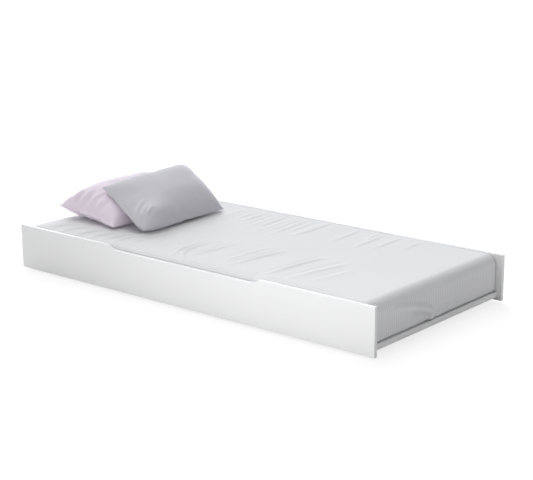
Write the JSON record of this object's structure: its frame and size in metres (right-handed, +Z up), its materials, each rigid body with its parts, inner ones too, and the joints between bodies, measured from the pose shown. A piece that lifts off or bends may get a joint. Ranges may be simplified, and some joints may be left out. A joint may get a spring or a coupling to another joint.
{
  "type": "trundle bed",
  "caption": "Low trundle bed on hidden casters: side panels, one with a finger cut-out, open ends, slatted base, mattress in a fitted sheet, and pillows.",
  "frame": {"origin": "on the floor below the middle of the bed", "axes": "+X along the bed from head to foot, +Y from the front panel with the finger cut-out to the back panel, +Z up"},
  "size_m": [1.97, 0.925, 0.4042],
  "materials": {
    "white_lacquer": "satin white lacquer on board",
    "pale_pine": "planed, unvarnished",
    "slat_tape": "woven polyester tape",
    "zinc_steel": "zinc plated",
    "grey_nylon": "moulded nylon",
    "black_rubber": "matt rubber",
    "mattress_ticking": "woven cotton ticking",
    "striped_cotton": "white cotton with fine grey stripes",
    "pink_cotton": "plain pale pink cotton",
    "grey_cotton": "plain cool grey cotton"
  },
  "bodies": {
    "frame": {"front_panel": "white_lacquer", "back_panel": "white_lacquer", "head_rail": "white_lacquer", "foot_rail": "white_lacquer", "front_cleat": "pale_pine", "back_cleat": "pale_pine", "slat_01": "pale_pine", "slat_02": "pale_pine", "slat_03": "pale_pine", "slat_04": "pale_pine", "slat_05": "pale_pine", "slat_06": "pale_pine", "slat_07": "pale_pine", "slat_08": "pale_pine", "slat_09": "pale_pine", "slat_10": "pale_pine", "slat_11": "pale_pine", "slat_12": "pale_pine", "slat_13": "pale_pine", "front_slat_tape": "slat_tape", "back_slat_tape": "slat_tape", "caster_bracket_front_head": "zinc_steel", "wheel_axle_front_head": "zinc_steel", "bracket_screw_front_head_1": "zinc_steel", "bracket_screw_front_head_2": "zinc_steel", "cam_disc_front_head": "zinc_steel", "cam_bolt_front_head": "zinc_steel", "caster_bracket_front_foot": "zinc_steel", "wheel_axle_front_foot": "zinc_steel", "bracket_screw_front_foot_1": "zinc_steel", "bracket_screw_front_foot_2": "zinc_steel", "cam_disc_front_foot": "zinc_steel", "cam_bolt_front_foot": "zinc_steel", "caster_bracket_back_head": "zinc_steel", "wheel_axle_back_head": "zinc_steel", "bracket_screw_back_head_1": "zinc_steel", "bracket_screw_back_head_2": "zinc_steel", "cam_disc_back_head": "zinc_steel", "cam_bolt_back_head": "zinc_steel", "caster_bracket_back_foot": "zinc_steel", "wheel_axle_back_foot": "zinc_steel", "bracket_screw_back_foot_1": "zinc_steel", "bracket_screw_back_foot_2": "zinc_steel", "cam_disc_back_foot": "zinc_steel", "cam_bolt_back_foot": "zinc_steel"},
    "wheel_front_head": {"wheel_hub_front_head": "grey_nylon", "wheel_tyre_front_head": "black_rubber"},
    "wheel_front_foot": {"wheel_hub_front_foot": "grey_nylon", "wheel_tyre_front_foot": "black_rubber"},
    "wheel_back_head": {"wheel_hub_back_head": "grey_nylon", "wheel_tyre_back_head": "black_rubber"},
    "wheel_back_foot": {"wheel_hub_back_foot": "grey_nylon", "wheel_tyre_back_foot": "black_rubber"},
    "mattress_and_sheet": {"mattress": "mattress_ticking", "fitted_sheet": "striped_cotton"},
    "pink_pillow": {"pink_pillow": "pink_cotton"},
    "grey_pillow": {"grey_pillow": "grey_cotton"}
  },
  "joints": [
    {"name": "wheel_front_head_spin", "type": "hinge", "parent": "frame", "child": "wheel_front_head", "pos_m": [-0.909, -0.4225, 0.01983], "axis": [1, 0, 0], "continuous": true},
    {"name": "wheel_front_foot_spin", "type": "hinge", "parent": "frame", "child": "wheel_front_foot", "pos_m": [0.909, -0.4225, 0.01983], "axis": [1, 0, 0], "continuous": true},
    {"name": "wheel_back_head_spin", "type": "hinge", "parent": "frame", "child": "wheel_back_head", "pos_m": [-0.909, 0.4225, 0.01983], "axis": [1, 0, 0], "continuous": true},
    {"name": "wheel_back_foot_spin", "type": "hinge", "parent": "frame", "child": "wheel_back_foot", "pos_m": [0.909, 0.4225, 0.01983], "axis": [1, 0, 0], "continuous": true},
    {"name": "mattress_lift", "type": "slide", "parent": "frame", "child": "mattress_and_sheet", "axis": [0, 0, 1], "range_m": [0, 0.3]},
    {"name": "pink_pillow_lift", "type": "slide", "parent": "mattress_and_sheet", "child": "pink_pillow", "axis": [0, 0, 1], "range_m": [0, 0.25]},
    {"name": "grey_pillow_lift", "type": "slide", "parent": "pink_pillow", "child": "grey_pillow", "axis": [0, 0, 1], "range_m": [0, 0.25]}
  ]
}
